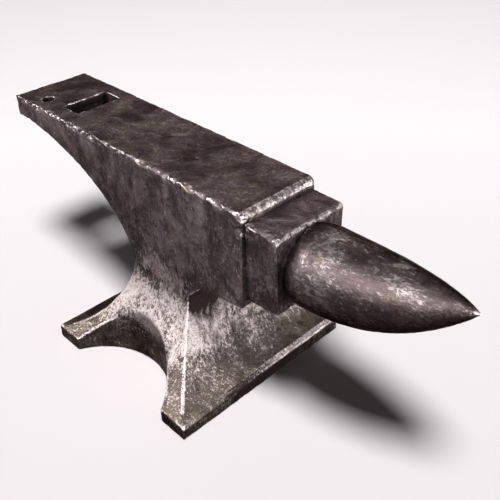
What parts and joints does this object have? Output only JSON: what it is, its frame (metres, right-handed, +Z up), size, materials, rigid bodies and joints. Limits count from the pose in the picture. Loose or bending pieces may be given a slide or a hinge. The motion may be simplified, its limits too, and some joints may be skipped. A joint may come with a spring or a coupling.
{
  "type": "anvil",
  "caption": "Blacksmith's anvil of the London pattern: flat steel face with tool holes, overhanging heel, stepped table, conical horn and flared base with arched sides.",
  "frame": {"origin": "centre of the base's underside, on the floor", "axes": "+X along the length towards the horn, +Y across the face, +Z up"},
  "size_m": [0.612, 0.249, 0.255],
  "materials": {
    "face_steel": "hammer-worn dark steel with bright worn edges",
    "forged_iron": "dark forged iron with a brown patina, scratched and pitted",
    "horn_iron": "dark forged iron, polished by use along its upper side",
    "base_iron": "grey forged iron, grainy, with bright worn ridges"
  },
  "bodies": {
    "root": {"face_plate": "face_steel", "heel_block": "forged_iron", "upper_core": "forged_iron", "table_block": "forged_iron", "horn": "horn_iron", "lower_core": "base_iron", "foot_heel_right": "base_iron", "foot_heel_left": "base_iron", "foot_horn_right": "base_iron", "foot_horn_left": "base_iron"}
  },
  "joints": []
}
